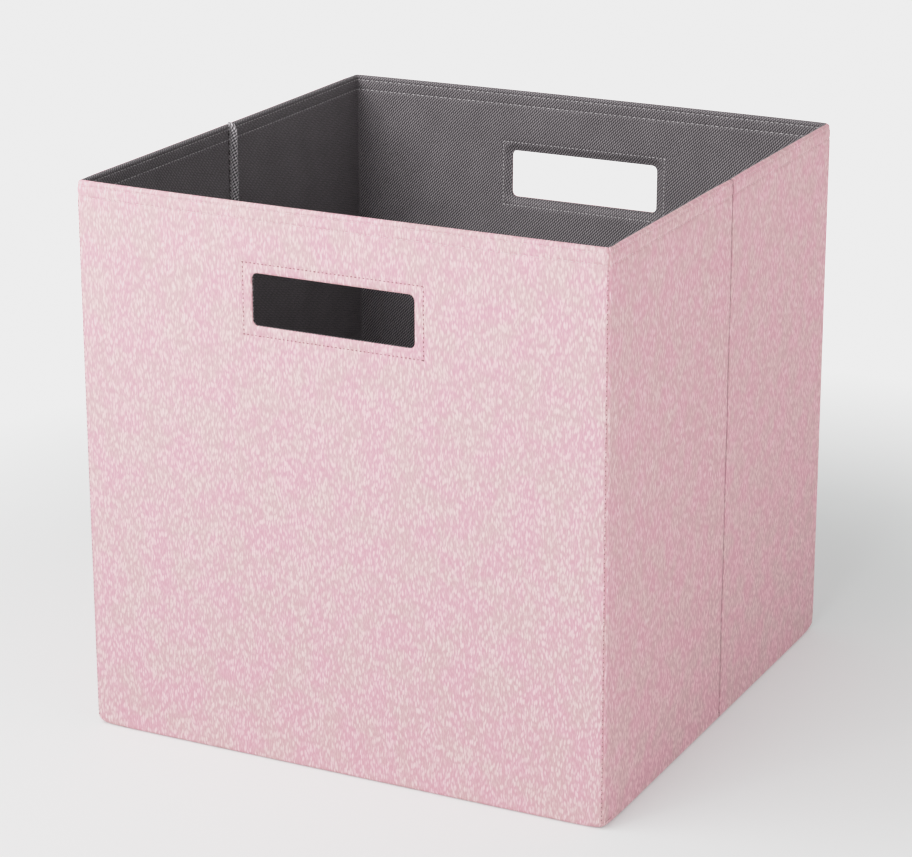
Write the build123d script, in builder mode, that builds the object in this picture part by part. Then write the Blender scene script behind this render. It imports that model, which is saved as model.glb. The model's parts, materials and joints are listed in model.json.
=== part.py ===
from build123d import *
import os

# A collapsible fabric storage cube for a cube shelf.
#
# Four stiffened cloth walls stand round a loose floor insert. Each wall section is a board
# sewn in between an outer cloth and a lining. The two side walls are split by a crease down
# the middle, so once the insert is lifted out the sides fold inwards along their creases and
# the front wall comes to lie against the back wall. Strips of cloth and lining with no board
# in them are the hinges at the four corners.
#
# Frame: origin at the centre of the underside, +Z up, front wall towards -Y. Millimetres.

os.makedirs("parts", exist_ok=True)

# Driving dimensions
BIN_SIDE = 330.0  # outer width, depth and height: a 13 inch cube
WALL = 4.0  # a finished wall, from outer cloth to lining
CLOTH = 0.8  # outer cloth
LINING = 0.8  # nonwoven lining
HEM = 11.0  # cloth turned in along the rim, above the top edge of the board
SEAM = 1.5  # cloth turned in along the other three edges of a board
RIM_RADIUS = 1.6  # the fold of the outer cloth over the rim
LINING_RADIUS = 0.7  # the lining's own fold at the rim
SLOT_WIDTH = 101.0  # hand slot in the front and the back wall
SLOT_HEIGHT = 30.3
SLOT_RADIUS = 3.5
SLOT_BELOW_RIM = 39.0  # from the rim down to the slot's top edge
COLLAR = 7.0  # cloth turned in round a slot, between the slot and the board
CORNER_STRIP = 13.0  # from a corner of the bin to the first board of its side wall
FOLD_GAP = 0.3  # clearance between pieces that move past each other
LAYER_GAP = 1.6  # room for soft cloth between two layers of the folded bin
BASE_CLOTH = 0.6  # cloth under the floor insert
BASE_RADIUS = 3.0  # corners of the base, in plan
INSERT_BOARD = 2.0  # board inside the floor insert
INSERT_COVER = 0.4  # its glued cover
INSERT_PLAY = 1.5  # between the insert's edge and the lining
TURN_UNDER = 25.0  # border of the cover that is glued to the underside of the board

# Worked out from them
HALF = BIN_SIDE / 2
BOARD = WALL - CLOTH - LINING
SLOT_CENTRE = BIN_SIDE - SLOT_BELOW_RIM - SLOT_HEIGHT / 2
INSERT_FOOT = BASE_CLOTH + FOLD_GAP
INSERT_SIDE = BIN_SIDE - 2 * (WALL + INSERT_PLAY)
INSERT_TOP = INSERT_FOOT + INSERT_BOARD + 2 * INSERT_COVER
WALL_FOOT = INSERT_TOP + FOLD_GAP  # the boards stop above the insert, so they fold over it
BASE_TOP = WALL_FOOT - FOLD_GAP
CREASE_GAP = FOLD_GAP / 2
SECTION_END = HALF - CORNER_STRIP
HINGE_X = HALF + LAYER_GAP / 2  # all the hinge lines of a side wall stand just outside it
HINGE_Y = HALF - 2 * WALL - 1.5 * LAYER_GAP  # of the two corner hinges

# Each wall's outer face, with x to the right seen from outside, y up and z outwards
FRONT = Plane(origin=(0, -HALF, 0), x_dir=(1, 0, 0), z_dir=(0, -1, 0))
BACK = Plane(origin=(0, HALF, 0), x_dir=(-1, 0, 0), z_dir=(0, 1, 0))
LEFT = Plane(origin=(-HALF, 0, 0), x_dir=(0, -1, 0), z_dir=(-1, 0, 0))
RIGHT = Plane(origin=(HALF, 0, 0), x_dir=(0, 1, 0), z_dir=(1, 0, 0))


def area(low, high, foot, top, mode=Mode.ADD):
    """A rectangle of a wall, between two places along it and two heights."""
    with Locations(((low + high) / 2, (foot + top) / 2)):
        Rectangle(high - low, top - foot, mode=mode)


def slot_outline(margin, mode=Mode.ADD):
    """The hand slot's outline, or one that keeps a margin outside it."""
    with Locations((0, SLOT_CENTRE)):
        RectangleRounded(
            SLOT_WIDTH + 2 * margin, SLOT_HEIGHT + 2 * margin, SLOT_RADIUS + margin, mode=mode
        )


def rim_edges(piece, face):
    """The long edges of a layer's top, from the innermost to the outermost."""
    along = Axis((0, 0, 0), tuple(face.x_dir))
    outwards = Axis((0, 0, 0), tuple(face.z_dir))
    top = piece.faces().sort_by(Axis.Z)[-1]
    return top.edges().filter_by(along).sort_by(outwards)


def write(piece, name):
    """Labels one finished piece and writes it."""
    piece.part.label = name
    export_step(piece.part, f"parts/{name}.step")


def outer_cloth(name, face, low, high, slotted):
    """Outer cloth of a wall section, with its hem and the edges turned in round the board."""
    with BuildPart() as cloth:
        with BuildSketch(face):
            area(low, high, WALL_FOOT, BIN_SIDE)
        extrude(amount=-CLOTH)
        with BuildSketch(face.offset(-CLOTH)):
            area(low, high, WALL_FOOT, BIN_SIDE)
            area(low + SEAM, high - SEAM, WALL_FOOT + SEAM, BIN_SIDE - HEM, Mode.SUBTRACT)
            if slotted:
                slot_outline(COLLAR)
        extrude(amount=-BOARD)
        if slotted:
            with BuildSketch(face):
                slot_outline(0)
            extrude(amount=-WALL, mode=Mode.SUBTRACT)
        fillet(rim_edges(cloth, face)[-1], RIM_RADIUS)
    write(cloth, f"{name}_outer_cloth")


def stiffener(name, face, low, high, slotted):
    """Board of a wall section, cut out round the hand slot and its collar."""
    with BuildPart() as board:
        with BuildSketch(face.offset(-CLOTH)):
            area(low + SEAM, high - SEAM, WALL_FOOT + SEAM, BIN_SIDE - HEM)
            if slotted:
                slot_outline(COLLAR, Mode.SUBTRACT)
        extrude(amount=-BOARD)
    write(board, f"{name}_board")


def inner_lining(name, face, low, high, slotted):
    """Lining of a wall section, folded over at the rim."""
    with BuildPart() as lining:
        with BuildSketch(face.offset(-CLOTH - BOARD)):
            area(low, high, WALL_FOOT, BIN_SIDE)
            if slotted:
                slot_outline(0, Mode.SUBTRACT)
        extrude(amount=-LINING)
        fillet(rim_edges(lining, face)[0], LINING_RADIUS)
    write(lining, f"{name}_lining")


def wall_section(name, face, low, high, slotted=False):
    """The three layers of one stiff section."""
    outer_cloth(name, face, low, high, slotted)
    stiffener(name, face, low, high, slotted)
    inner_lining(name, face, low, high, slotted)


def corner_strip(name, face, direction):
    """The boardless strip of cloth and of lining that hinges a side wall at one corner."""
    near = direction * (SECTION_END + FOLD_GAP)
    far = direction * (HALF - WALL - FOLD_GAP)
    low, high = min(near, far), max(near, far)
    with BuildPart() as cloth:
        with BuildSketch(face):
            area(low, high, WALL_FOOT, BIN_SIDE)
        extrude(amount=-CLOTH)
    write(cloth, f"{name}_corner_cloth")
    with BuildPart() as lining:
        with BuildSketch(face.offset(-CLOTH - BOARD)):
            area(low, high, WALL_FOOT, BIN_SIDE)
        extrude(amount=-LINING)
    write(lining, f"{name}_corner_lining")


# The front and the back wall run from corner to corner
wall_section("front", FRONT, -HALF, HALF, slotted=True)
wall_section("back", BACK, -HALF, HALF, slotted=True)

# Each side wall is two sections with the crease between them and a soft strip at each end.
# Seen from outside, the front of the bin is to the right of the left wall, and to the left
# of the right wall.
for side, face, to_front in (("left", LEFT, 1), ("right", RIGHT, -1)):
    for end, direction in (("front", to_front), ("rear", -to_front)):
        limits = sorted((direction * CREASE_GAP, direction * SECTION_END))
        wall_section(f"{side}_{end}", face, *limits)
    corner_strip(f"front_{side}", face, to_front)
    corner_strip(f"back_{side}", face, -to_front)

# The cloth under the insert, with the low seam round it that the walls are sewn to
with BuildPart() as base_cloth:
    with BuildSketch():
        RectangleRounded(BIN_SIDE, BIN_SIDE, BASE_RADIUS)
    extrude(amount=BASE_CLOTH)
    with BuildSketch(Plane.XY.offset(BASE_CLOTH)):
        RectangleRounded(BIN_SIDE, BIN_SIDE, BASE_RADIUS)
        Rectangle(BIN_SIDE - 2 * WALL, BIN_SIDE - 2 * WALL, mode=Mode.SUBTRACT)
    extrude(amount=BASE_TOP - BASE_CLOTH)
write(base_cloth, "base_cloth")

# The loose floor insert: a board with a cover glued over it and turned under at its edges
board_side = INSERT_SIDE - 2 * INSERT_COVER
with BuildPart() as floor_board:
    with BuildSketch(Plane.XY.offset(INSERT_FOOT + INSERT_COVER)):
        Rectangle(board_side, board_side)
    extrude(amount=INSERT_BOARD)
write(floor_board, "floor_board")

with BuildPart() as floor_cover:
    with BuildSketch(Plane.XY.offset(INSERT_FOOT)):
        Rectangle(INSERT_SIDE, INSERT_SIDE)
    extrude(amount=INSERT_TOP - INSERT_FOOT)
    with BuildSketch(Plane.XY.offset(INSERT_FOOT + INSERT_COVER)):
        Rectangle(board_side, board_side)
    extrude(amount=INSERT_BOARD, mode=Mode.SUBTRACT)
    with BuildSketch(Plane.XY.offset(INSERT_FOOT)):
        Rectangle(INSERT_SIDE - 2 * TURN_UNDER, INSERT_SIDE - 2 * TURN_UNDER)
    extrude(amount=INSERT_COVER, mode=Mode.SUBTRACT)
write(floor_cover, "floor_cover")

# The vertical hinge lines of the corners and the creases, and the heights that matter
print(f"corner hinges at x {HINGE_X:.2f} y {HINGE_Y:.2f}, crease hinges at x {HINGE_X:.2f} y 0")
print(f"slot centre {SLOT_CENTRE:.2f}, foot of the walls {WALL_FOOT:.2f}, insert top {INSERT_TOP:.2f}")
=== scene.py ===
# %% [markdown]
# # A collapsible fabric storage bin
# The bin is a cube of stiffened cloth for a cube shelf: a woven pink cloth outside, a dark
# nonwoven lining inside, boards sewn in between, and a hand slot in the front and the back.
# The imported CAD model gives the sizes, the bodies and the hinges. Everything here is built
# round it, in metres, in its frame: +Z up, the front wall towards -Y, the origin under the middle.

# %% Load the frame
import json
import math

import bpy
import numpy as np
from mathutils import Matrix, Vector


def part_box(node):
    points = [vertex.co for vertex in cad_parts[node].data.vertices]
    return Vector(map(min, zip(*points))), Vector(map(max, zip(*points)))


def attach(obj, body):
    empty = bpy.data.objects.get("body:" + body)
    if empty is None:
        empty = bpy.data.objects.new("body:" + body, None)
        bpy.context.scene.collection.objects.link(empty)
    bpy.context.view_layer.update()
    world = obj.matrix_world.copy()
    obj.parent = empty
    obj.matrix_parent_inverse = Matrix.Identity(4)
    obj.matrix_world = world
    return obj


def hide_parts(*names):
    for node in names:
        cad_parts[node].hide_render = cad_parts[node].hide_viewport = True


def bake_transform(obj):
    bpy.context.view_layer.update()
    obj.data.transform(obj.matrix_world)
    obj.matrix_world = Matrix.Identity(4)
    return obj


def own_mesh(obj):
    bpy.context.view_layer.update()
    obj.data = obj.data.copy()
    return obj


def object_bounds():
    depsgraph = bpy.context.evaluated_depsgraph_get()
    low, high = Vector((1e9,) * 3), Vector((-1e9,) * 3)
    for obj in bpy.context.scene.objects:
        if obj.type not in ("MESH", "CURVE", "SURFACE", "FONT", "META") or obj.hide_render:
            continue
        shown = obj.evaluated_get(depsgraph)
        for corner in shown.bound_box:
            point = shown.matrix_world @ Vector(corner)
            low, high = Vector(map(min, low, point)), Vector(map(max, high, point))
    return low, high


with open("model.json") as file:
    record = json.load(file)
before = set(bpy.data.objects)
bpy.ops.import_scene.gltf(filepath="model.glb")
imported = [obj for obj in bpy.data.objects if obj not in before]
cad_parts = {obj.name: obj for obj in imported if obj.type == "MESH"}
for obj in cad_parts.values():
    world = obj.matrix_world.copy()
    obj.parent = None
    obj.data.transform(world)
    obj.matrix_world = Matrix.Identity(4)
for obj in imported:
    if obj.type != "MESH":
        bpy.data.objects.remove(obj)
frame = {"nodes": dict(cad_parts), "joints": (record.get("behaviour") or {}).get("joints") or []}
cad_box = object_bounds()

print("CAD box", [round(v, 4) for corner in cad_box for v in corner])

# %% [markdown]
# ## Sizes
# Every size comes from the frame or is a plain measure of the sewing in millimetres. The wall is
# a sandwich: outer cloth, board, lining. Reading the layers' places from the CAD nodes keeps the
# cloth on its board if the design changes.

# %% Sizes of the bin and its sewing
MM = 0.001
SIDE = cad_box[1].z
HALF = SIDE / 2
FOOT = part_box("front_outer_cloth")[0].z  # the walls start here, above the floor insert
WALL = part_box("front_lining")[1].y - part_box("front_outer_cloth")[0].y
BOARD_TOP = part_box("front_board")[1].z
BOARD_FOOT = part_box("front_board")[0].z
BOARD_NEAR_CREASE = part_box("right_rear_board")[0].y
BOARD_NEAR_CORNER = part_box("right_rear_board")[1].y
CLOTH = 0.8 * MM
BOARD = 2.3 * MM
RIM = WALL / 2  # the rim is half round
CORNER = 3.0 * MM  # radius of the bin's upright edges
INNER_CORNER = 1.2 * MM
SLOT_WIDTH = 101.0 * MM
SLOT_HEIGHT = 30.3 * MM
SLOT_RADIUS = 3.5 * MM
SLOT_CENTRE = SIDE - 39.0 * MM - SLOT_HEIGHT / 2
BOARD_SLOT = 7.0 * MM  # the board's own slot is this much larger all round
HEM_ROWS = (SIDE - 3.0 * MM, SIDE - 9.3 * MM)
SLOT_ROW = 5.5 * MM  # the stitched rectangle round a slot lies this far outside it
print("side", SIDE, "wall", round(WALL, 5), "foot", FOOT, "board", BOARD_FOOT, BOARD_TOP)

# %% [markdown]
# ## The soft shape
# A cloth bin is never a perfect cube. Its walls bow, its corners are drawn in where the seams
# meet at the ground and at the rim, and the creases kink. One could sculpt each piece, but then
# the layers would part. Instead one function moves any point of the bin, and every layer, board
# and stitch goes through it, so they all stay together.

# %% The soft shape of the whole bin
DRAWN_IN_FOOT = 3.2 * MM  # corners, at the ground
DRAWN_IN_RIM = 0.8 * MM  # corners, at the rim
FOOT_ROUND = 6.0 * MM
RIM_ROUND = 6.0 * MM
CORNER_REACH = 7.0 * MM
LEFT_RISE = 1.1 * MM  # the rim on the left stands this much higher
LEFT_BOW = 0.7 * MM  # the left wall's rim bows inwards
LEFT_FRONT_OUT = 0.5 * MM  # the left wall near the front leans outwards
BACK_BOW = 3.5 * MM  # the back wall's rim bows outwards
FRONT_LEFT_IN = 2.6 * MM  # the front wall's rim near the left lies further back
CREASE_OUT = 0.6 * MM  # the right crease stands out at the rim
CREASE_ASIDE = 3.4 * MM  # and runs this far behind the middle of its wall
CREASE_WAVE = 0.3 * MM
CREASE_REACH, LEFT_REACH, FRONT_REACH = 16.0 * MM, 70.0 * MM, 60.0 * MM
WAVE_HEIGHT = 13.0 * MM  # the height of one radian of the crease's wave


def soft(points):
    """Moves points of the ideal cube to where the soft bin has them."""
    x, y, z = np.array(points, float).T
    height = np.clip(z / SIDE, 0, 1)
    corner = np.exp(-(2 * HALF - abs(x) - abs(y)).clip(0) / CORNER_REACH)
    foot = np.clip(1 - z / FOOT_ROUND, 0, 1) ** 2
    rim = np.clip((z - SIDE + RIM_ROUND) / RIM_ROUND, 0, 1) ** 2
    drawn = corner * (DRAWN_IN_FOOT * foot + DRAWN_IN_RIM * rim)
    left, right = (HALF - x) / SIDE, (HALF + x) / SIDE
    back = (HALF + y) / SIDE
    bow_y, bow_x = 1 - (y / HALF) ** 2, 1 - (x / HALF) ** 2
    kink = np.exp(-((y / CREASE_REACH) ** 2))
    from_left = np.exp(-(x + HALF).clip(0) / LEFT_REACH)
    from_front = np.exp(-(y + HALF).clip(0) / FRONT_REACH)
    dx = -np.sign(x) * drawn
    dy = -np.sign(y) * drawn
    dz = height * left**2 * LEFT_RISE
    dx += left * (height * LEFT_BOW * bow_y - LEFT_FRONT_OUT * from_front)
    dx += height * right * CREASE_OUT * kink
    dy += height**2 * back * BACK_BOW * bow_x
    dy += height * np.clip(-y / HALF, 0, 1) * FRONT_LEFT_IN * from_left
    dy += right**8 * kink * (CREASE_ASIDE + CREASE_WAVE * np.sin(z / WAVE_HEIGHT))
    return np.column_stack((x + dx, y + dy, z + dz))


print("rim middle of the left wall moves to", soft([(-HALF, 0, SIDE)])[0].round(4))

# %% [markdown]
# ## The walls as one long band
# The walls can be unrolled: `s` runs to the right round the bin from the middle of the front
# wall, seen from outside, `v` runs up the cloth, and `depth` goes into the wall. All pieces of
# cloth are cut from this band, so their edges and their pattern meet. The band has four equal
# quarters, each a straight wall and a rounded corner.

# %% From the band to the bin
STRAIGHT = 2 * (HALF - CORNER)
ARC = CORNER * math.pi / 2
QUARTER = STRAIGHT + ARC
FRONT_RIGHT, BACK_RIGHT, BACK_LEFT, FRONT_LEFT = (
    (k + 0.5) * QUARTER for k in range(4)
)  # the middle of each corner
RIGHT_CREASE, LEFT_CREASE = QUARTER, 3 * QUARTER
TRUE_WIDTH = 140 * MM  # the part of a wall that keeps its width at every depth


def ring(s, depth):
    """Plan positions on the bin's outline at distance s, at a depth inside the outer face."""
    s, depth = np.broadcast_arrays(np.asarray(s, float), depth)
    quarter, t = np.divmod(s + STRAIGHT / 2, QUARTER)
    half = HALF - depth
    radius = np.maximum(CORNER - depth, INNER_CORNER)
    along = t - STRAIGHT / 2
    spare = (half - radius - TRUE_WIDTH) / (STRAIGHT / 2 - TRUE_WIDTH)
    beyond = np.maximum(abs(along) - TRUE_WIDTH, 0)
    flat_x = np.sign(along) * (np.minimum(abs(along), TRUE_WIDTH) + beyond * spare)
    angle = np.clip((t - STRAIGHT) / ARC, 0, 1) * math.pi / 2
    on_arc = t > STRAIGHT
    x = np.where(on_arc, half - radius + radius * np.sin(angle), flat_x)
    y = np.where(on_arc, -half + radius - radius * np.cos(angle), -half)
    turn = quarter * math.pi / 2
    return x * np.cos(turn) - y * np.sin(turn), x * np.sin(turn) + y * np.cos(turn)


def on_wall(s, v, inwards, lining=False):
    """Points of the wall. inwards is measured from the visible face of the cloth or the lining
    into the wall, and the top of the band turns over the half-round rim."""
    over = np.clip((v - (SIDE - RIM)) / RIM, 0, math.pi / 2)
    reach = (RIM - inwards) * np.cos(over)
    depth = WALL - RIM + reach if lining else RIM - reach
    z = np.minimum(v, SIDE - RIM) + (RIM - inwards) * np.sin(over)
    x, y = ring(s, depth)
    return soft(np.column_stack((x, y, z)))


APEX = SIDE - RIM + RIM * math.pi / 2  # the top of the rim, measured up the cloth
print("band length", round(4 * QUARTER, 4), "rim apex", on_wall(np.array([0.0]), APEX, 0.0)[0].round(4))

# %% [markdown]
# ## Relief of the sewn cloth
# Stitching pulls cloth down into shallow furrows, the soft strip beside a corner sinks a little
# between two boards, the seam at the corner makes a nick, and the crease is a thin groove that
# deepens towards the ground. These are fractions of a millimetre, but they catch the light, so
# they are real geometry. Each is a smooth dip across its line.

# %% Dips in the outer cloth and in the lining
CLOTH_HEM_DIP = (0.4 * MM, 0.9 * MM)  # depth and width, here and below
LINING_HEM_DIP = (0.25 * MM, 0.9 * MM)
SLOT_ROW_DIP = (0.3 * MM, 1.1 * MM)
CORNER_NICK = (0.55 * MM, 0.55 * MM)
STRIP_PLACE, STRIP_DIP = 6.5 * MM, (0.3 * MM, 3.5 * MM)  # from the corner to the strip's middle
STRIP_EDGE, STRIP_EDGE_DIP = 12.4 * MM, (0.25 * MM, 0.6 * MM)
PLEAT_SIDE, PLEAT_SIDE_DIP = 3.1 * MM, (0.9 * MM, 0.7 * MM)
CREASE_DEPTH, CREASE_DEEPENS, CREASE_WIDTH = 1.7 * MM, 0.8 * MM, 0.6 * MM
SLOT_EDGE, SLOT_EDGE_DEPTH = 1.4 * MM, 0.7 * MM  # how far the slot's edge is rounded, and how deep
LINING_EDGE, LINING_EDGE_DEPTH = 6.0 * MM, 1.7 * MM


def dip(distance, depth, width):
    """A furrow of a depth, falling off within a width on both sides of its line."""
    return depth * np.exp(-((distance / width) ** 2))


def slot_distance(s, v):
    """Distance outside the outline of the nearer hand slot."""
    across = (s + QUARTER) % (2 * QUARTER) - QUARTER  # from the middle of the front or the back
    a = abs(across) - (SLOT_WIDTH / 2 - SLOT_RADIUS)
    b = abs(v - SLOT_CENTRE) - (SLOT_HEIGHT / 2 - SLOT_RADIUS)
    outside = np.hypot(np.maximum(a, 0), np.maximum(b, 0))
    return outside + np.minimum(np.maximum(a, b), 0) - SLOT_RADIUS


def slot_row_distance(s, v):
    """Distance from the four straight rows of stitches round the nearer hand slot."""
    across = (s + QUARTER) % (2 * QUARTER) - QUARTER
    a = abs(across) - (SLOT_WIDTH / 2 + SLOT_ROW)
    b = abs(v - SLOT_CENTRE) - (SLOT_HEIGHT / 2 + SLOT_ROW)
    return np.where(a > b, a, b)


def corner_distance(s):
    """Distance along the band from the middle of the nearest corner."""
    return abs((s % QUARTER) - QUARTER / 2)


def crease_distance(s):
    """Distance along the band from the nearer side crease."""
    return abs(s % (2 * QUARTER) - QUARTER)


def cloth_relief(s, v):
    """How far the outer cloth lies below its ideal face."""
    relief = sum(dip(v - row, *CLOTH_HEM_DIP) for row in HEM_ROWS)
    relief = relief + dip(slot_row_distance(s, v), *SLOT_ROW_DIP)
    relief = relief + dip(corner_distance(s), *CORNER_NICK)
    side_wall = (crease_distance(s) < QUARTER / 2).astype(float)
    strip = side_wall * dip(corner_distance(s) - STRIP_PLACE, *STRIP_DIP)
    strip = strip + side_wall * dip(corner_distance(s) - STRIP_EDGE, *STRIP_EDGE_DIP)
    groove = CREASE_DEPTH + CREASE_DEEPENS * (1 - v / SIDE) ** 2
    relief = relief + strip + dip(crease_distance(s), groove, CREASE_WIDTH)
    edge = np.clip(1 - slot_distance(s, v).clip(0) / SLOT_EDGE, 0, 1)
    return relief + SLOT_EDGE_DEPTH * edge**2


def lining_relief(s, v):
    """How far the lining lies below its ideal face."""
    relief = sum(dip(v - row, *LINING_HEM_DIP) for row in HEM_ROWS)
    relief = relief + dip(slot_row_distance(s, v), *SLOT_ROW_DIP)
    relief = relief + dip(abs(s - LEFT_CREASE) - PLEAT_SIDE, *PLEAT_SIDE_DIP)
    edge = np.clip(1 - slot_distance(s, v).clip(0) / LINING_EDGE, 0, 1)
    return relief + LINING_EDGE_DEPTH * edge**2 * (3 - 2 * edge)


print("crease groove at the foot", cloth_relief(np.array([QUARTER]), np.array([0.0])) / MM)

# %% [markdown]
# ## A layer of the wall as a closed mesh
# Every layer is a grid over the band, bent into place twice: once for its visible side and once
# for its hidden side. The edges are then joined, so the layer is closed and has a real thickness.
# A boolean could cut the hand slot, but its edge would shade badly. Here the grid's squares inside
# the slot are left out, and the points round the hole are moved onto its outline.

# %% Grid lines, closer together where the cloth has detail
def spaced(low, high, step, *details):
    """Places from low to high at most a step apart, and finer within reach of each detail."""
    fine = np.linspace(low, high, 6001)
    size = np.full(fine.shape, step)
    for place, reach, smallest in details:
        growing = smallest + 0.35 * np.maximum(abs(fine - place) - reach, 0)
        size = np.minimum(size, growing)
    passed = np.concatenate(([0], np.cumsum(np.diff(fine) / size[1:])))
    count = int(math.ceil(passed[-1]))
    return np.interp(np.linspace(0, passed[-1], count + 1), passed, fine)


def onto_outline(s, v, margin):
    """Moves points onto the outline that keeps a margin outside the hand slot."""
    tiny = 1e-6
    for _ in range(3):
        d = slot_distance(s, v) - margin
        slope_s = (slot_distance(s + tiny, v) - margin - d) / tiny
        slope_v = (slot_distance(s, v + tiny) - margin - d) / tiny
        length = np.maximum(slope_s**2 + slope_v**2, 0.25)
        s, v = s - d * slope_s / length, v - d * slope_v / length
    return s, v


plain = spaced(0, 100 * MM, 5 * MM)
detailed = spaced(0, 100 * MM, 5 * MM, (50 * MM, 2 * MM, 0.4 * MM))
print("lines over 100 mm:", len(plain), "plain,", len(detailed), "with a detail")

# %% A closed mesh from its points and faces
def mesh_piece(name, points, faces, uv, material, turned=False):
    """Makes an object with its place in its mesh and a UV map in metres."""
    if turned:
        faces = [face[::-1] for face in faces]
    mesh = bpy.data.meshes.new(name)
    mesh.from_pydata(points.tolist(), [], faces)
    corners = np.empty(len(mesh.loops), np.int32)
    mesh.loops.foreach_get("vertex_index", corners)
    layer = mesh.uv_layers.new(name="UVMap")
    layer.data.foreach_set("uv", np.asarray(uv, np.float32)[corners].ravel())
    mesh.polygons.foreach_set("use_smooth", [True] * len(mesh.polygons))
    mesh.set_sharp_from_angle(angle=math.radians(50))
    mesh.materials.append(material)
    piece = bpy.data.objects.new(name, mesh)
    bpy.context.scene.collection.objects.link(piece)
    return piece


def wall_layer(name, s, v, face, back, material, lining=False, margin=None):
    """One layer. face and back say how deep its visible and its hidden side lie in the wall."""
    grid_s, grid_v = (g.ravel() for g in np.meshgrid(s, v, indexing="ij"))
    at = np.arange(len(grid_s)).reshape(len(s), len(v))
    quads = np.stack((at[:-1, :-1], at[1:, :-1], at[1:, 1:], at[:-1, 1:]), -1).reshape(-1, 4)
    if margin is not None:
        outside = slot_distance(grid_s[quads].mean(1), grid_v[quads].mean(1)) > margin
        rim_points = np.intersect1d(quads[outside], quads[~outside])
        moved = onto_outline(grid_s[rim_points], grid_v[rim_points], margin)
        grid_s[rim_points], grid_v[rim_points] = moved
        quads = quads[outside]
    edges = np.concatenate([np.roll(quads, -k, 1)[:, :2] for k in range(4)])
    count = len(grid_s)
    codes, reverse = edges[:, 0] * count + edges[:, 1], edges[:, 1] * count + edges[:, 0]
    border = edges[~np.isin(codes, reverse)]
    sides = np.stack((border[:, 1], border[:, 0], border[:, 0] + count, border[:, 1] + count), -1)
    faces = np.concatenate((quads, quads[:, ::-1] + count, sides))
    used, faces = np.unique(faces, return_inverse=True)
    points = np.concatenate([
        on_wall(grid_s, grid_v, depth(grid_s, grid_v), lining) for depth in (face, back)
    ])
    uv = np.column_stack((np.tile(grid_s, 2), np.tile(grid_v, 2)))
    faces = faces.reshape(-1, 4).tolist()
    return mesh_piece(name, points[used], faces, uv[used], material, turned=lining)


# %% [markdown]
# ## Materials from small sums
# Shader maths is easier to read as sums than as boxes and wires. A Signal wraps one socket, and
# Python's operators add the Math nodes. Any other node comes from its `node` method.

# %% A signal in a material
class Signal:
    """One output in a material's nodes. Operators on it add Math nodes."""

    def __init__(self, tree, socket=None):
        self.tree, self.socket = tree, socket

    def node(self, kind, settings=None, inputs=None, output=0):
        """Adds a node: its settings first, then the values or links of its sockets."""
        made = self.tree.nodes.new(kind)
        for name, value in (settings or {}).items():
            setattr(made, name, value)
        for name, value in (inputs or {}).items():
            if isinstance(value, Signal):
                self.tree.links.new(value.socket, made.inputs[name])
            else:
                made.inputs[name].default_value = value
        return Signal(self.tree, made.outputs[output])

    def math(self, operation, *values):
        """A Math node on these values or signals."""
        return self.node("ShaderNodeMath", {"operation": operation}, dict(enumerate(values)))

    def __add__(self, other):
        return self.math("ADD", self, other)

    def __sub__(self, other):
        return self.math("SUBTRACT", self, other)

    def __rsub__(self, other):
        return self.math("SUBTRACT", other, self)

    def __mul__(self, other):
        return self.math("MULTIPLY", self, other)

    def __truediv__(self, other):
        return self.math("DIVIDE", self, other)

    def wave(self):
        """Its sine, from -1 to 1."""
        return self.math("SINE", self)

    def step(self, low, high):
        """0 below low, 1 above high, and smooth between."""
        inputs = {"Value": self, "From Min": low, "From Max": high}
        return self.node("ShaderNodeMapRange", {"interpolation_type": "SMOOTHSTEP"}, inputs)

    def between(self, zero, one):
        """A colour that is zero where the signal is 0 and one where it is 1."""
        inputs = {0: self, 6: zero, 7: one}
        return self.node("ShaderNodeMix", {"data_type": "RGBA"}, inputs, output=2)


def rgb(red, green, blue):
    """A colour from its sRGB values, 0 to 255, as the linear values that a shader needs."""
    parts = [c / 255 for c in (red, green, blue)]
    return (*(p / 12.92 if p < 0.04045 else ((p + 0.055) / 1.055) ** 2.4 for p in parts), 1)


def finish_named(name, roughness, sheen=0.0, specular=0.3):
    """A new material: the material, its shader's sockets and a first signal to start from."""
    made = bpy.data.materials.new(name)
    made.use_nodes = True
    shader = made.node_tree.nodes["Principled BSDF"]
    shader.inputs["Roughness"].default_value = roughness
    shader.inputs["Sheen Weight"].default_value = sheen
    shader.inputs["Specular IOR Level"].default_value = specular
    return made, shader.inputs, Signal(made.node_tree)


def connect(start, colour, height, distance, sockets):
    """Feeds a shader its colour, and its normal from a height in metres."""
    bumped = start.node("ShaderNodeBump", None, {"Height": height, "Distance": distance, "Strength": 1.0})
    start.tree.links.new(colour.socket, sockets["Base Color"])
    start.tree.links.new(bumped.socket, sockets["Normal"])


def millimetres(start):
    """The two directions along the cloth, in millimetres: round the bin, and up."""
    uv = start.node("ShaderNodeUVMap", {"uv_map": "UVMap"})
    split = uv.node("ShaderNodeSeparateXYZ", None, {0: uv})
    up = Signal(start.tree, split.socket.node.outputs[1])
    return split * 1000, up * 1000


def patches(along, up, width, height, detail=0.0, seed=0.0):
    """Soft noise whose patches are about width by height millimetres."""
    place = along.node("ShaderNodeCombineXYZ", None, {0: along / width, 1: up / height, 2: seed})
    settings = {"noise_dimensions": "3D"}
    inputs = {"Vector": place, "Scale": 1.0, "Detail": detail, "Roughness": 0.55}
    return place.node("ShaderNodeTexNoise", settings, inputs)


def strokes(along, up, width, height, seed=0.0):
    """The distance from scattered points, in cells of about width by height millimetres."""
    place = along.node("ShaderNodeCombineXYZ", None, {0: along / width, 1: up / height, 2: seed})
    settings = {"voronoi_dimensions": "3D", "feature": "F1"}
    return place.node("ShaderNodeTexVoronoi", settings, {"Vector": place, "Scale": 1.0})


print("signals ready")

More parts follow.
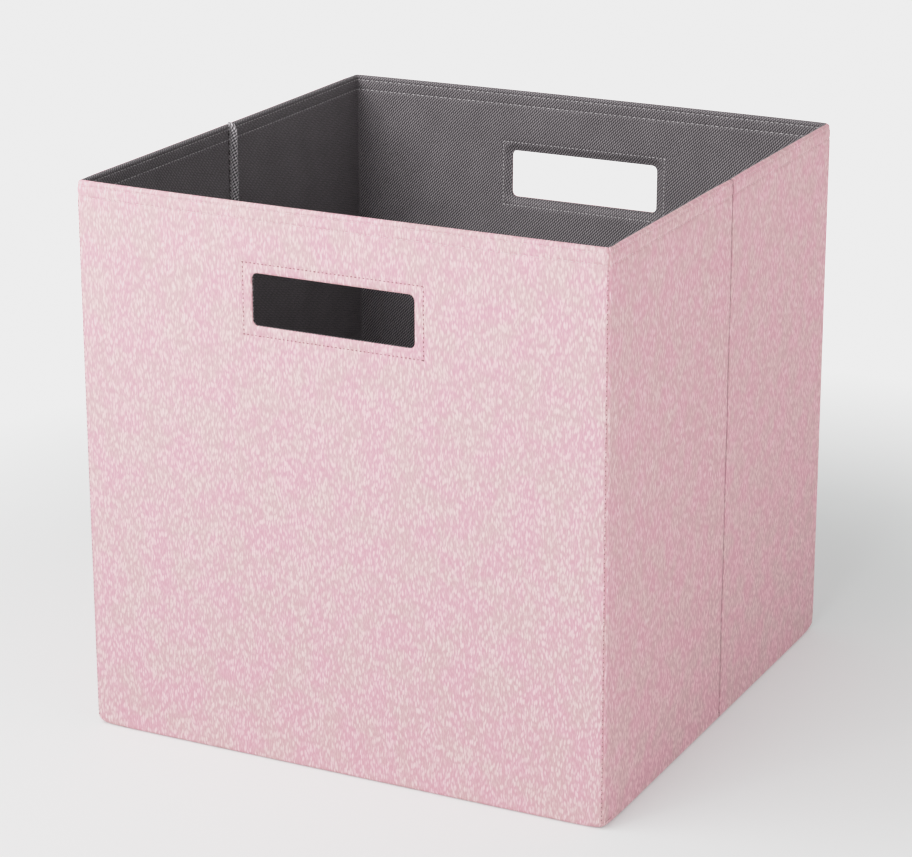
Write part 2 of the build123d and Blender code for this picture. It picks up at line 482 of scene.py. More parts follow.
# %% [markdown]
# ## The pink cloth
# It is a fine plain weave of heathered yarn: dusty pink, covered in short pale upright slubs where
# the lighter yarn floats on top, with faint larger patches of greyer and pinker tone. Noise alone
# would join the slubs into a net, so each slub lies round its own scattered point, in stretched
# cells. Fine stretched noise adds wisps between them. A little slow noise leans them, so that
# they aren't all upright. The weave itself is two sine waves at the thread's pitch, in colour and
# in height. Along the fold of each side wall the colour is darkened as painted shade, for the
# shadow in the crease: PINGPONG gives the place within a quarter of the band, whose far end
# is the fold.

# %% Pink heathered cloth
THREAD_PITCH = 0.62  # millimetres
SLUB_CELL = (1.25, 4.2)  # millimetres wide and high, as the sizes below
WISP_SIZE = (0.7, 3.2)
BLOTCH_SIZE = (18.0, 21.0)


def heathered_cloth():
    """The pink cloth's material."""
    made, sockets, start = finish_named("pink_heathered_cloth", 0.88, sheen=0.05, specular=0.2)
    across, up = millimetres(start)
    lean = patches(across, up, 9.0, 14.0, seed=3.0)
    leaning = across + (lean - 0.5) * 2.2
    slub_core = 1 - strokes(leaning, up, *SLUB_CELL, seed=11.0).step(0.24, 0.54)
    wisps = patches(leaning, up, *WISP_SIZE, detail=0.5, seed=27.0).step(0.42, 0.66)
    slubs = slub_core * 0.62 + wisps * 0.3
    turn = 2 * math.pi / THREAD_PITCH
    warp, weft = (across * turn).wave(), (up * turn).wave()
    weave = warp * weft * 0.5 + 0.5
    blotches = patches(across, up, *BLOTCH_SIZE, detail=2.5, seed=41.0).step(0.35, 0.65)
    base = blotches.between(rgb(203, 149, 160), rgb(196, 155, 159))
    slub = blotches.between(rgb(236, 193, 200), rgb(231, 198, 198))
    clamped = {"data_type": "RGBA", "clamp_factor": True}
    colour = slubs.node("ShaderNodeMix", clamped, {0: slubs, 6: base, 7: slub}, output=2)
    # Painted shade: within about a millimetre of each side wall's fold the colour is darkened by half.
    from_fold = QUARTER / MM - across.math("PINGPONG", across, QUARTER / MM)
    painted_crease_shade = 1 - from_fold.step(0.3, 1.3)
    shade = (weave * 0.09 + 0.955) * (1 - painted_crease_shade * 0.5)
    grey = shade.node("ShaderNodeCombineXYZ", None, {0: shade, 1: shade, 2: shade})
    multiply = {"data_type": "RGBA", "blend_type": "MULTIPLY"}
    shaded = shade.node("ShaderNodeMix", multiply, {0: 1.0, 6: colour, 7: grey}, output=2)
    connect(start, shaded, weave * 0.5 + slubs * 0.5, 0.00012, sockets)
    return made


PINK = heathered_cloth()
print(PINK.name, len(PINK.node_tree.nodes), "nodes")

# %% [markdown]
# ## The dark lining
# The lining is pressed nonwoven: charcoal fibre with rows of small welded dots that run down to
# the right. Each dot is a shiny dimple and the fibre between stands up paler. Two waves, one
# across the rows and one along them, give the dots.

# %% Charcoal nonwoven
ROW_PITCH = 1.45  # millimetres, across the rows
DOT_PITCH = 1.7  # along them


def pressed_nonwoven(name, dark, light, lighter):
    """Nonwoven that is dark in its dots, and light or lighter between them."""
    made, sockets, start = finish_named(name, 0.62, sheen=0.1, specular=0.4)
    across, up = millimetres(start)
    diagonal = math.sqrt(0.5)
    over = (across + up) * (diagonal * 2 * math.pi / ROW_PITCH)
    along = (across - up) * (diagonal * 2 * math.pi / DOT_PITCH)
    rows = over.wave()
    dots = (along + over * 0.5).wave()
    fibre = patches(across, up, 0.8, 0.8, detail=3.0, seed=5.0)
    raised = (rows * 0.62 + dots * 0.42 + (fibre - 0.5) * 1.6).step(-0.55, 0.95)
    cloudy = patches(across, up, 22.0, 22.0, detail=2.0, seed=8.0).step(0.25, 0.75)
    colour = raised.between(dark, cloudy.between(light, lighter))
    connect(start, colour, raised, 0.00016, sockets)
    return made


CHARCOAL = pressed_nonwoven("charcoal_nonwoven", rgb(40, 35, 39), rgb(149, 142, 146), rgb(161, 154, 158))
# A lighter copy of the lining for the pleat: painted light, for the pleat's lit flank.
PAINTED_LIGHT_NONWOVEN = pressed_nonwoven("raised_nonwoven", rgb(62, 58, 61), rgb(214, 208, 212), rgb(226, 220, 224))
print(CHARCOAL.name, len(CHARCOAL.node_tree.nodes), "nodes")

# %% [markdown]
# ## Threads and board
# The hem is sewn in pink like the cloth, the slots and the corners in a deep rose, and the lining in
# pale grey. The rose thread is made darker as painted shade, for the shadow in the stitch holes, so
# it shows as small dark dots. The board is grey pulp with darker flecks.

# %% Threads and grey board
def sewing_thread(name, dark, light):
    """A thread whose twist shows as a fine stripe."""
    made, sockets, start = finish_named(name, 0.55, sheen=0.3)
    place = start.node("ShaderNodeTexCoord", None, None, output=3)
    settings = {"wave_type": "BANDS", "bands_direction": "DIAGONAL"}
    twist = place.node("ShaderNodeTexWave", settings, {"Vector": place, "Scale": 900.0}, output=1)
    connect(start, twist.between(dark, light), twist, 0.00005, sockets)
    return made


def grey_board():
    """The boards' pulp."""
    made, sockets, start = finish_named("grey_board", 0.9, specular=0.2)
    place = start.node("ShaderNodeTexCoord", None, None, output=3)
    pulp = place.node("ShaderNodeTexNoise", None, {"Vector": place, "Scale": 320.0, "Detail": 5.0})
    flecks = pulp.step(0.52, 0.7)
    connect(start, flecks.between(rgb(158, 148, 136), rgb(104, 96, 88)), pulp, 0.0001, sockets)
    return made


# Rose thread made dark as painted shade: its stitches also stand for the shadowed stitch holes.
ROSE_THREAD_AND_HOLE_SHADE = sewing_thread("rose_thread", rgb(96, 66, 70), rgb(140, 104, 110))
HEM_THREAD = sewing_thread("hem_thread", rgb(196, 160, 166), rgb(224, 196, 200))
GREY_THREAD = sewing_thread("grey_thread", rgb(184, 180, 182), rgb(222, 218, 220))
PULP = grey_board()
print("threads and board ready")

# %% [markdown]
# ## The six sections and how they move
# The front and the back wall are stiff from corner to corner. Each side wall is two stiff halves
# with a crease between, and at the corners only cloth joins them. Here the cloth, lining and
# stitches of the front and the back are fastened to their walls, while a side half's stay where
# they are built.

# %% Sections of the band
SECTIONS = {  # from, to, and the wall that it is sewn to
    "front": (-QUARTER / 2, FRONT_RIGHT, None),
    "right_front": (FRONT_RIGHT, RIGHT_CREASE, "front"),
    "right_rear": (RIGHT_CREASE, BACK_RIGHT, "back"),
    "back": (BACK_RIGHT, BACK_LEFT, None),
    "left_rear": (BACK_LEFT, LEFT_CREASE, "back"),
    "left_front": (LEFT_CREASE, FRONT_LEFT, "front"),
}
HINGES = {joint["name"]: joint["pos_m"] for joint in frame["joints"] if joint["type"] == "hinge"}
CORNER_HINGE = HINGES["fold"][1]  # how far the corner hinges stand from the middle, along Y
BEND = 4.0 * MM  # a length on each side of the corner hinge


def fasten(piece, section, replaced=()):
    """Fastens a piece to the front or the back; a side piece stays where it is. Hides the nodes it stands
    for.
    """
    neighbour = SECTIONS[section][2]
    if neighbour is None:
        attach(piece, section)
    else:
        way = -1 if neighbour == "front" else 1
        start = (0, way * (CORNER_HINGE + BEND), 0)
        end = (0, way * (CORNER_HINGE - BEND), 0)
        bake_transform(piece)
    if replaced:
        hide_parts(*replaced)


# %% Grid lines of one section
STEP_ROUND, STEP_UP = 5 * MM, 6 * MM  # the widest squares of the grid
NEAR_CORNER = (4 * MM, 0.45 * MM)  # reach and smallest step, here and below
NEAR_SLOT = (6.5 * MM, 0.75 * MM)
NEAR_STRIP = (14 * MM, 0.8 * MM)
RIM_LINES = [(row, 1.6 * MM, 0.45 * MM) for row in HEM_ROWS] + [(SIDE, 3 * MM, 0.4 * MM)]
SLOT_TOP, SLOT_FOOT = SLOT_CENTRE + SLOT_HEIGHT / 2, SLOT_CENTRE - SLOT_HEIGHT / 2
GAP = 0.22 * MM  # from the cloth of each section to the middle of a crease


def section_lines(section, pleated=0.0):
    """The grid lines of a section's cloth. pleated leaves room beside the left crease."""
    low, high, neighbour = SECTIONS[section]
    room = GAP + (pleated if section in ("left_rear", "left_front") else 0.0)
    across, up = [], list(RIM_LINES)
    for corner in (low, high):
        across.append((corner, *NEAR_CORNER))
    if neighbour is None:
        middle = (low + high) / 2
        for side in (-1, 1):
            across.append((middle + side * SLOT_WIDTH / 2, *NEAR_SLOT))
        up += [(SLOT_TOP, *NEAR_SLOT), (SLOT_FOOT, *NEAR_SLOT)]
    else:
        corner = low if section in ("right_front", "left_rear") else high
        across.append((corner, *NEAR_STRIP))
        low, high = (low, high - room) if corner == low else (low + room, high)
    return spaced(low, high, STEP_ROUND, *across), spaced(FOOT, APEX, STEP_UP, *up)


print("front grid", [len(lines) for lines in section_lines("front")])

# %% [markdown]
# ## Outer cloth
# Each section's cloth is one piece that is turned in round its board and at the hand slot, where
# it is several layers thick. At the foot the walls stop above the floor insert, so that the bin
# can fold, and a low band of the same cloth, sewn to the base, carries on to the ground.

# %% Outer cloth of the six sections
TURNED_IN = 1.2 * MM  # thickness of the cloth where it is turned in
TURNED_IN_REACH = 1.2 * MM  # and how far from the slot's edge that goes
CLOTH_UNDER = CLOTH - 0.05 * MM  # thickness of the modelled skin, just clear of the board


def thick_edge(s, v):
    """1 where the cloth is turned in at the edge of a hand slot."""
    return (slot_distance(s, v) < TURNED_IN_REACH).astype(float)


def cloth_back(s, v):
    """How deep the hidden side of the outer cloth lies."""
    skin = cloth_relief(s, v) + CLOTH_UNDER
    return skin + (TURNED_IN - skin) * thick_edge(s, v)


CORNER_NODES = {
    "right_front": "front_right", "right_rear": "back_right",
    "left_rear": "back_left", "left_front": "front_left",
}
HEM = 11 * MM  # the hem's width, and the spare cloth on every side of a cut
for section, (low, high, neighbour) in SECTIONS.items():
    slotted = neighbour is None
    lines = section_lines(section)
    name = f"{section}_cloth"
    cloth = wall_layer(name, *lines, cloth_relief, cloth_back, PINK, margin=0.0 if slotted else None)
    nodes = [f"{section}_outer_cloth"]
    if not slotted:
        nodes.append(f"{CORNER_NODES[section]}_corner_cloth")
    fasten(cloth, section, nodes)
    cut = (high - low + 2 * HEM, APEX - FOOT + 2 * HEM)
    print(name, len(cloth.data.polygons), "faces, cut", [round(c, 3) for c in cut])

# %% [markdown]
# ## Lining
# The lining is cut like the outer cloth and turned in at the same places. On the right crease
# each half is closed over its own edge, so a folded bin shows finished edges there. On the left
# crease the spare lining stands up as a narrow pleat, which opens out as the bin folds.

# %% Lining of the six sections
PLEAT_WIDTH = 5.4 * MM
PLEAT_HEIGHT = 4.0 * MM
EDGE_DEPTH = WALL - 1.0 * MM  # how deep the lining covers a half's edge on the right crease
EDGE_REACH = 0.35 * MM  # the grid lines this near the crease are that edge
PLEAT_OVERLAP = 0.2 * MM  # how far the lining reaches under each side of the pleat


def lining_back(s, v):
    """How deep the hidden side of the lining lies, from the inside."""
    skin = lining_relief(s, v) + CLOTH_UNDER
    closed = abs(s - RIGHT_CREASE) < EDGE_REACH
    return np.where(closed, EDGE_DEPTH, skin)


for section, (low, high, neighbour) in SECTIONS.items():
    slotted = neighbour is None
    lines = section_lines(section, pleated=PLEAT_WIDTH / 2 - PLEAT_OVERLAP)
    name = f"{section}_inner_lining"
    margin = 0.0 if slotted else None
    lining = wall_layer(name, *lines, lining_relief, lining_back, CHARCOAL, lining=True, margin=margin)
    nodes = [f"{section}_lining"]
    if not slotted:
        nodes.append(f"{CORNER_NODES[section]}_corner_lining")
    fasten(lining, section, nodes)
    cut = (high - low + 2 * HEM, APEX - FOOT + 2 * HEM)
print("lining of", len(SECTIONS), "sections")

# %% The pleat on the left crease
PLEAT_NARROW = 4.5  # a higher power makes a narrower ridge
PLEAT_FADE, PLEAT_LEAST = 5 * MM, 0.12  # near the rim it gets lower over this height
PLEAT_THICK, PLEAT_HOLLOW = 0.6 * MM, 0.85
OVER_PLEAT = 2.2  # the cloth's length over the pleat, for each length across it


def pleat_height(s, v):
    """How far the pleat stands proud: a narrow ridge that gets lower near the rim."""
    side = abs(s - LEFT_CREASE) / (PLEAT_WIDTH / 2)
    arch = np.cos(np.clip(side, 0, 1) * math.pi / 2) ** PLEAT_NARROW
    near_rim = np.clip((APEX - v) / PLEAT_FADE, PLEAT_LEAST, 1) ** 0.6
    return PLEAT_HEIGHT * arch * near_rim


def pleat_face(s, v):
    """The visible side of the pleat, which stands out of the wall."""
    return -pleat_height(s, v)


def pleat_back(s, v):
    """The hidden side of the pleat, which is hollow."""
    return PLEAT_THICK - PLEAT_HOLLOW * pleat_height(s, v)


half_pleat = PLEAT_WIDTH / 2
across = np.linspace(LEFT_CREASE - half_pleat, LEFT_CREASE + half_pleat, 21)
up = spaced(FOOT, APEX, STEP_UP, *RIM_LINES)
# The pleat wears the lighter copy of the lining, which paints the light on its flank.
pleat = wall_layer("left_crease_pleat", across, up, pleat_face, pleat_back, PAINTED_LIGHT_NONWOVEN, lining=True)
pattern = pleat.data.uv_layers["UVMap"].data
places = np.empty(2 * len(pattern), np.float32)
pattern.foreach_get("uv", places)
places[::2] = LEFT_CREASE + (places[::2] - LEFT_CREASE) * OVER_PLEAT
pattern.foreach_set("uv", places)
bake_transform(pleat)
print("pleat stands", PLEAT_HEIGHT / MM, "mm proud")

# %% [markdown]
# ## Boards
# The boards can't be seen in a whole bin, but they are what holds it up, and they show when the
# cloth is taken off. They go through the same soft shape as the cloth, so they stay inside it.

# %% Boards of the six sections
BOARD_FACE = (WALL - BOARD) / 2
BOARD_STEP = 8 * MM
NEAR_BOARD_SLOT = (8 * MM, 2.2 * MM)


def board_face(s, v):
    """How deep the board's outer side lies in the wall."""
    return np.full(s.shape, BOARD_FACE)


def board_back(s, v):
    """How deep the board's inner side lies in the wall."""
    return np.full(s.shape, BOARD_FACE + BOARD)


CORNER_GAP = HALF - BOARD_NEAR_CORNER  # from a side board to the corner
END_GAP = CORNER + 1.5 * MM  # from the front or back board to the corner
for section, (low, high, neighbour) in SECTIONS.items():
    slotted = neighbour is None
    low_gap = high_gap = END_GAP
    if section in ("right_front", "left_rear"):
        low_gap, high_gap = CORNER_GAP, BOARD_NEAR_CREASE
    elif not slotted:
        low_gap, high_gap = BOARD_NEAR_CREASE, CORNER_GAP
    across, up = [], []
    if slotted:
        middle = (low + high) / 2
        for way in (-1, 1):
            across.append((middle + way * (SLOT_WIDTH / 2 + BOARD_SLOT), *NEAR_BOARD_SLOT))
        up = [(SLOT_TOP + BOARD_SLOT, *NEAR_BOARD_SLOT), (SLOT_FOOT - BOARD_SLOT, *NEAR_BOARD_SLOT)]
    s = spaced(low + low_gap, high - high_gap, BOARD_STEP, *across)
    v = spaced(BOARD_FOOT, BOARD_TOP, BOARD_STEP, *up)
    name = f"{section}_stiff_board"
    board = wall_layer(name, s, v, board_face, board_back, PULP, margin=BOARD_SLOT if slotted else None)
    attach(board, section)
    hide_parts(f"{section}_board")
print("boards", BOARD / MM, "mm thick")

# %% [markdown]
# ## Base
# The base is one cut of the outer cloth under the bin, with a low band turned up round it that
# the walls are sewn to. It is built as rings round the bin's outline: down the band, round the
# lower edge, and then smaller and smaller to the middle. When the bin folds, this cloth crumples
# between the two walls. Here it is fastened to the back wall, and the share of its depth that a
# folded bin leaves is worked out.

# %% Faces between rings of points
def ring_faces(ring_count, count, closed=False):
    """Squares between each ring of count points and the next. closed joins the last to the first."""
    faces = []
    for number in range(ring_count if closed else ring_count - 1):
        here, there = number * count, (number + 1) % ring_count * count
        for i in range(count):
            j = (i + 1) % count
            faces.append((here + i, there + i, there + j, here + j))
    return faces


print("three rings of four points make", len(ring_faces(3, 4)), "faces")

# %% Base cloth
EDGE_ROUND = 2.2 * MM  # radius of the lower edge
BASE_CLOTH = 0.6 * MM
BAND_TOP = FOOT - 0.02 * MM
BAND_RINGS = 9  # the rings that lie on the band and round the lower edge


def base_rings(s):
    """Rings of points from the inside of the band, over it, down and under to the middle."""
    band = ((CLOTH, BAND_TOP), (0.0, BAND_TOP), (0.0, 0.7 * BAND_TOP))
    rings = [(depth, height, 1.0) for depth, height in band]
    for angle in np.linspace(0, math.pi / 2, 6):
        depth = EDGE_ROUND * (1 - math.cos(angle))
        rings.append((depth, EDGE_ROUND * (1 - math.sin(angle)), 1.0))
    rings += [(EDGE_ROUND, 0.0, share) for share in np.linspace(0.97, 0.04, 14)]
    rings += [(EDGE_ROUND, BASE_CLOTH, share) for share in np.linspace(0.04, 0.97, 14)]
    rings.append((EDGE_ROUND, BASE_CLOTH + 0.2 * MM, 1.0))
    made = []
    for depth, height, share in rings:
        x, y = ring(s, depth)
        made.append(soft(np.column_stack((x * share, y * share, np.full(s.shape, height)))))
    return made


s = np.concatenate([
    spaced(low, high, 6 * MM, (low, 3 * MM, 0.7 * MM), (high, 3 * MM, 0.7 * MM))[:-1]
    for low, high, neighbour in SECTIONS.values()
])
rings = base_rings(s)
faces = ring_faces(len(rings), len(s), closed=True)
uv = []
for number, found in enumerate(rings):
    on_band = found[:, 2].max() > BASE_CLOTH + 0.1 * MM or number < BAND_RINGS
    uv.append(np.column_stack((s, found[:, 2])) if on_band else found[:, :2])
base = mesh_piece("base_and_band", np.concatenate(rings), faces, np.concatenate(uv), PINK)
folded = 1 - 2 * CORNER_HINGE / SIDE  # what is left of the bin's depth when it is folded
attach(base, "back")
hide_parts("base_cloth")
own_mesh(base)
print("base", len(faces), "faces, folds to", round(folded, 4), "of its depth")

# %% [markdown]
# ## Floor insert
# The insert is a loose board wrapped in lining. Its edges are soft because the lining is pulled
# round the board. It is a rounded slab in rings, as the base is, with a border underneath where
# the lining is turned under and glued.

# %% Floor insert
COVER_LOW, COVER_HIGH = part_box("floor_cover")
TURN_UNDER = 25 * MM
BORDER_STEP = 0.4 * MM  # inside the turned-under border the underside lies this far higher
CORNER_CUT, CORNER_START = 1.2 * MM, 0.985  # how much a corner is softened, and from which share


def insert_rings(side_count):
    """Rings round the slab from the middle of its top to the middle of its underside."""
    half, top, foot = COVER_HIGH.x, COVER_HIGH.z, COVER_LOW.z
    round_edge = (top - foot) / 2
    rings = [(share * (half - round_edge), top) for share in np.linspace(0.03, 1, 16)]
    for angle in np.linspace(math.pi / 2, -math.pi / 2, 9)[1:]:
        spread = half - round_edge + round_edge * math.cos(angle)
        rings.append((spread, (top + foot) / 2 + round_edge * math.sin(angle)))
    inner, raised = half - TURN_UNDER, foot + BORDER_STEP
    rings += [(inner, foot), (inner - BORDER_STEP, raised)]
    rings += [(share * inner, raised) for share in np.linspace(0.95, 0.03, 8)]
    turn = np.arange(4 * side_count) / side_count
    quarter, along = np.divmod(turn, 1)
    along = along * 2 - 1
    made = []
    for reach, height in rings:
        angle = quarter * math.pi / 2
        corner = CORNER_CUT * np.maximum(abs(along) - CORNER_START, 0) / (1 - CORNER_START)
        x, y = reach * along, -reach + corner * (reach / half)
        px, py = x * np.cos(angle) - y * np.sin(angle), x * np.sin(angle) + y * np.cos(angle)
        made.append(np.column_stack((px, py, np.full(px.shape, height))))
    return made


rings = insert_rings(44)
count, last = len(rings[0]), len(rings) - 1
faces = ring_faces(len(rings), count)
faces += [tuple(range(count)), tuple(range(last * count, len(rings) * count))[::-1]]
points = np.concatenate(rings)
insert = mesh_piece("floor_insert_cover", points, faces, points[:, :2], CHARCOAL)
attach(insert, "floor_insert")
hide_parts("floor_cover")
board_node = frame["nodes"]["floor_board"]
board_node.data.materials.clear()
board_node.data.materials.append(PULP)
print("insert", [round(v, 4) for v in COVER_HIGH - COVER_LOW])

# %% [markdown]
# ## Stitching
# A machine seam is one short stitch again and again along a line, so it is a job for Geometry
# Nodes. The tree takes a line drawn on the cloth, sets points along it at the seam's pitch, and
# puts a small rounded stitch on each, turned along the line and a little uneven. The result is
# made a plain mesh, because instances don't export.

# %% The stitching tree
def stitch_tree():
    """A tree that sews stitches along the edges of a mesh."""
    tree = bpy.data.node_groups.new("stitch_along_lines", "GeometryNodeTree")
    face = tree.interface
    face.new_socket("Lines", in_out="INPUT", socket_type="NodeSocketGeometry")
    for name in ("Pitch", "Length", "Thickness", "Unevenness"):
        face.new_socket(name, in_out="INPUT", socket_type="NodeSocketFloat")
    face.new_socket("Thread", in_out="INPUT", socket_type="NodeSocketMaterial")
    face.new_socket("Stitches", in_out="OUTPUT", socket_type="NodeSocketGeometry")

    def add(kind, inputs=(), **settings):
        made = tree.nodes.new(kind)
        for name, value in settings.items():
            setattr(made, name, value)
        for socket, value in dict(inputs).items():
            if isinstance(value, bpy.types.NodeSocket):
                tree.links.new(value, made.inputs[socket])
            else:
                made.inputs[socket].default_value = value
        return made

    given = add("NodeGroupInput").outputs
    curve = add("GeometryNodeMeshToCurve", {"Mesh": given["Lines"]})
    drawn = {"Curve": curve.outputs[0], "Length": given["Pitch"]}
    spots = add("GeometryNodeResampleCurve", drawn, mode="LENGTH")
    half_long = add("ShaderNodeMath", {0: given["Length"], 1: 0.5}, operation="MULTIPLY")
    half_thick = add("ShaderNodeMath", {0: given["Thickness"], 1: 0.5}, operation="MULTIPLY")
    thick = half_thick.outputs[0]
    size = add("ShaderNodeCombineXYZ", {0: half_long.outputs[0], 1: thick, 2: thick})
    ball = add("GeometryNodeMeshUVSphere", {"Segments": 8, "Rings": 5, "Radius": 1.0})
    stitch = add("GeometryNodeTransform", {"Geometry": ball.outputs[0], "Scale": size.outputs[0]})
    tangent = add("GeometryNodeInputTangent")
    turned = add("FunctionNodeAlignRotationToVector", {"Vector": tangent.outputs[0]}, axis="X")
    least = add("ShaderNodeMath", {0: 1.0, 1: given["Unevenness"]}, operation="SUBTRACT")
    most = add("ShaderNodeMath", {0: 1.0, 1: given["Unevenness"]}, operation="ADD")
    # Sockets 2 and 3 are the least and the most of a random plain number.
    uneven = add("FunctionNodeRandomValue", {2: least.outputs[0], 3: most.outputs[0], "Seed": 7})
    placed = add("GeometryNodeInstanceOnPoints", {
        "Points": spots.outputs[0], "Instance": stitch.outputs[0],
        "Rotation": turned.outputs[0], "Scale": uneven.outputs[1],
    })
    real = add("GeometryNodeRealizeInstances", {"Geometry": placed.outputs[0]})
    smooth = add("GeometryNodeSetShadeSmooth", {"Geometry": real.outputs[0]})
    sewn = add("GeometryNodeSetMaterial", {"Geometry": smooth.outputs[0], "Material": given["Thread"]})
    add("NodeGroupOutput", {"Stitches": sewn.outputs[0]})
    return tree


STITCHING = stitch_tree()
named = [item.name for item in STITCHING.interface.items_tree if item.in_out == "INPUT"]
print(STITCHING.name, "has inputs", named)

# %% Sewing along lines
THREAD_PROUD = 0.08 * MM
UNEVENNESS = 0.12
LINE_STEP = 0.8 * MM
CORNER_SEAM_PLACE = 0.9 * MM  # beside the corner
HEM_SEAM = {"pitch": 3.3 * MM, "length": 2.3 * MM, "thickness": 0.42 * MM}
SLOT_SEAM = {"pitch": 2.5 * MM, "length": 1.3 * MM, "thickness": 0.5 * MM}
CORNER_SEAM = {"pitch": 2.6 * MM, "length": 1.0 * MM, "thickness": 0.5 * MM}


def sew(name, section, lines, thread, pitch, length, thickness):
    """Sews stitches along lines of points, and fastens them as their section's cloth is."""
    points = np.concatenate(lines)
    starts = np.cumsum([0] + [len(line) for line in lines])
    edges = [(i, i + 1) for a, b in zip(starts[:-1], starts[1:]) for i in range(a, b - 1)]
    mesh = bpy.data.meshes.new(name)
    mesh.from_pydata(points.tolist(), edges, [])
    drawn = bpy.data.objects.new(name + "_line", mesh)
    bpy.context.scene.collection.objects.link(drawn)
    modifier = drawn.modifiers.new("stitches", "NODES")
    modifier.node_group = STITCHING
    values = {"Pitch": pitch, "Length": length, "Thickness": thickness}
    values.update({"Unevenness": UNEVENNESS, "Thread": thread})
    for item in STITCHING.interface.items_tree:
        if item.name in values:
            modifier[item.identifier] = values[item.name]
    graph = bpy.context.evaluated_depsgraph_get()
    sewn = bpy.data.meshes.new_from_object(drawn.evaluated_get(graph))
    bpy.data.objects.remove(drawn)
    sewn.name = name
    piece = bpy.data.objects.new(name, sewn)
    bpy.context.scene.collection.objects.link(piece)
    fasten(piece, section)
    return piece


def line_on(s, v, lining=False):
    """A line of points just on the cloth or the lining, through places s and v."""
    s, v = np.broadcast_arrays(np.asarray(s, float), np.asarray(v, float))
    relief = lining_relief(s, v) if lining else cloth_relief(s, v)
    return on_wall(s, v, relief - THREAD_PROUD, lining)


def run(low, high):
    """Places close enough together for a seam to follow the cloth."""
    return np.arange(low, high, LINE_STEP)


print("rows at", [round(row / MM, 1) for row in HEM_ROWS], "mm")

# %% Hem, slot and corner seams
sewn_pieces = []
for section, (low, high, neighbour) in SECTIONS.items():
    s = run(low + 1.5 * MM, high - 1.5 * MM)
    for lining, thread, side in ((False, HEM_THREAD, "outer"), (True, GREY_THREAD, "inner")):
        rows = [line_on(s, row, lining) for row in HEM_ROWS]
        name = f"{section}_{side}_hem_stitches"
        sewn_pieces.append(sew(name, section, rows, thread, **HEM_SEAM))
        if neighbour is None:
            middle = (low + high) / 2
            a, b = SLOT_WIDTH / 2 + SLOT_ROW, SLOT_HEIGHT / 2 + SLOT_ROW
            level, upright = run(-a, a), run(-b, b)
            rows = [line_on(middle + level, SLOT_CENTRE + way * b, lining) for way in (-1, 1)]
            rows += [line_on(middle + way * a, SLOT_CENTRE + upright, lining) for way in (-1, 1)]
            thread = GREY_THREAD if lining else ROSE_THREAD_AND_HOLE_SHADE
            name = f"{section}_{side}_slot_stitches"
            sewn_pieces.append(sew(name, section, rows, thread, **SLOT_SEAM))
for section in ("front", "back"):
    low, high = SECTIONS[section][:2]
    up = run(FOOT + 2 * MM, HEM_ROWS[1] - 2 * MM)
    rows = [line_on(place, up) for place in (low + CORNER_SEAM_PLACE, high - CORNER_SEAM_PLACE)]
    name = f"{section}_corner_stitches"
    sewn_pieces.append(sew(name, section, rows, ROSE_THREAD_AND_HOLE_SHADE, **CORNER_SEAM))
print(len(sewn_pieces), "seams,", sum(len(p.data.polygons) for p in sewn_pieces), "faces")

# %% [markdown]
# ## Floor, light and camera
# A pale floor in an even surround, with three lights: a near softbox and a broad soft sun from the
# front left, and a low light from the right. The low one stays below the rim, so it brightens the
# outside of the right wall and leaves the inside of the left wall dark. The floor glows a little,
# more so far from the bin, and stands for the white sweep of a studio. The camera stands to the
# right of the front, a little above the rim, with a long lens. A tone curve bends the bright end
# over, so that the front keeps its pink and the floor is one even pale tone.

# %% Floor
REACH, BELOW = 12.0, -0.3 * MM  # half the floor's side, and its height
NEAR_GLOW, FAR_GLOW = (0.2, 0.225, 0.222, 1), (0.95, 0.95, 0.95, 1)
GLOW_FROM, GLOW_TO = 0.3, 0.95  # metres from the middle of the bin
floor_mesh = bpy.data.meshes.new("studio_floor")
floor_corners = [(x * REACH, y * REACH, BELOW) for x, y in ((-1, -1), (1, -1), (1, 1), (-1, 1))]
floor_mesh.from_pydata(floor_corners, [], [(0, 1, 2, 3)])
floor = bpy.data.objects.new("studio_floor", floor_mesh)
bpy.context.scene.collection.objects.link(floor)
floor_paint, floor_sockets, floor_start = finish_named("studio_floor_paint", 0.95, specular=0.0)
floor_sockets["Base Color"].default_value = (0.68, 0.68, 0.68, 1)
spot = floor_start.node("ShaderNodeTexCoord", None, None, output=3)
away = spot.node("ShaderNodeVectorMath", {"operation": "LENGTH"}, {0: spot}, output=1)
glow = away.step(GLOW_FROM, GLOW_TO).between(NEAR_GLOW, FAR_GLOW)
floor_start.tree.links.new(glow.socket, floor_sockets["Emission Color"])
floor_sockets["Emission Strength"].default_value = 1.0
floor_mesh.materials.append(floor_paint)
print("floor", 2 * REACH, "m wide")

# %% Light
world = bpy.data.worlds.new("studio")
world.use_nodes = True
surround = world.node_tree.nodes["Background"].inputs
surround["Color"].default_value = (1.0, 0.995, 0.99, 1)
surround["Strength"].default_value = 0.55
bpy.context.scene.world = world


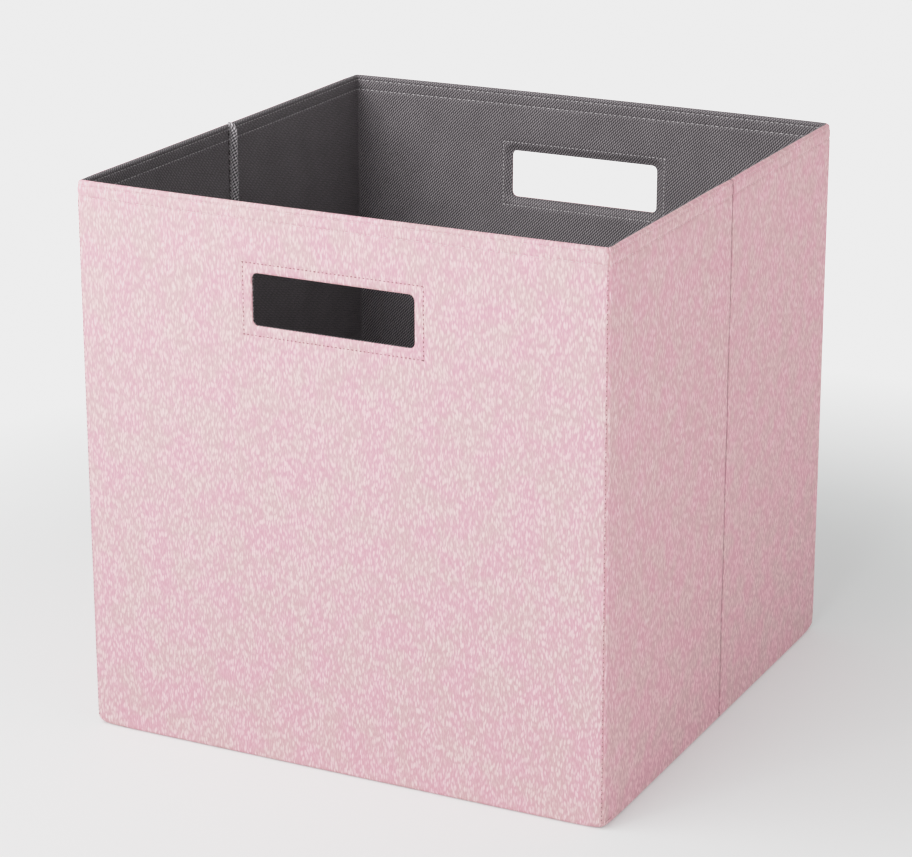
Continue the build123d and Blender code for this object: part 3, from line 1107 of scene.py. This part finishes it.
def light(name, kind, strength, azimuth, elevation, distance=0.0):
    """A light that shines at the bin from an azimuth, 0 at the front and 90 at the right."""
    data = bpy.data.lights.new(name, kind)
    data.energy = strength
    made = bpy.data.objects.new(name, data)
    a, e = math.radians(azimuth), math.radians(elevation)
    towards = Vector((math.sin(a) * math.cos(e), -math.cos(a) * math.cos(e), math.sin(e)))
    made.rotation_mode = "QUATERNION"
    made.rotation_quaternion = towards.to_track_quat("Z", "Y")
    made.location = towards * distance + Vector((0, 0, SIDE / 2))
    bpy.context.scene.collection.objects.link(made)
    return data


light("key", "AREA", strength=7, azimuth=-35, elevation=46, distance=1.0).size = 0.7
light("broad_key", "SUN", strength=1.35, azimuth=-12, elevation=36).angle = math.radians(36)
light("low_fill", "AREA", strength=3.9, azimuth=72, elevation=0, distance=1.5).size = 0.3
print("world, key lights and low fill set")

# %% Camera
AZIMUTH, ELEVATION, ROLL = (math.radians(a) for a in (26.87, 18.40, -0.26))
DISTANCE, ASIDE, ABOVE = 1.7946, -7.4 * MM, -5.24 * MM
LENS = 117.71
flat = math.cos(ELEVATION)
back = np.array([math.sin(AZIMUTH) * flat, -math.cos(AZIMUTH) * flat, math.sin(ELEVATION)])
level = np.cross((0, 0, 1), back)
level /= np.linalg.norm(level)
upright = np.cross(back, level)
right = math.cos(ROLL) * level + math.sin(ROLL) * upright
top = -math.sin(ROLL) * level + math.cos(ROLL) * upright
place = np.array([0, 0, SIDE / 2]) + right * ASIDE + top * ABOVE + back * DISTANCE
camera_data = bpy.data.cameras.new("camera")
camera_data.lens, camera_data.sensor_width = LENS, 36
camera = bpy.data.objects.new("camera", camera_data)
bpy.context.scene.collection.objects.link(camera)
rows = [(right[i], top[i], back[i], place[i]) for i in range(3)]
camera.matrix_world = Matrix(rows + [(0, 0, 0, 1)])
bpy.context.scene.camera = camera
print("camera at", place.round(3))

# %% Tone curve
WHITEST = 1.3  # light of this strength and more shows as the palest tone
PALEST = 0.845
TONES = ((0.35, 0.35), (0.5, 0.483), (0.66, 0.608), (0.85, 0.702), (1.05, 0.775))  # strength, shown
view = bpy.context.scene.view_settings
view.view_transform = "Standard"
view.use_curve_mapping = True
tone = view.curve_mapping
tone.use_clip = False
tone.extend = "HORIZONTAL"
tone.white_level = (WHITEST, WHITEST, WHITEST)
for strength, shown in TONES:
    tone.curves[3].points.new(strength / WHITEST, shown)
tone.curves[3].points[-1].location = (1.0, PALEST)
tone.update()
print("tone curve of", len(tone.curves[3].points), "points")
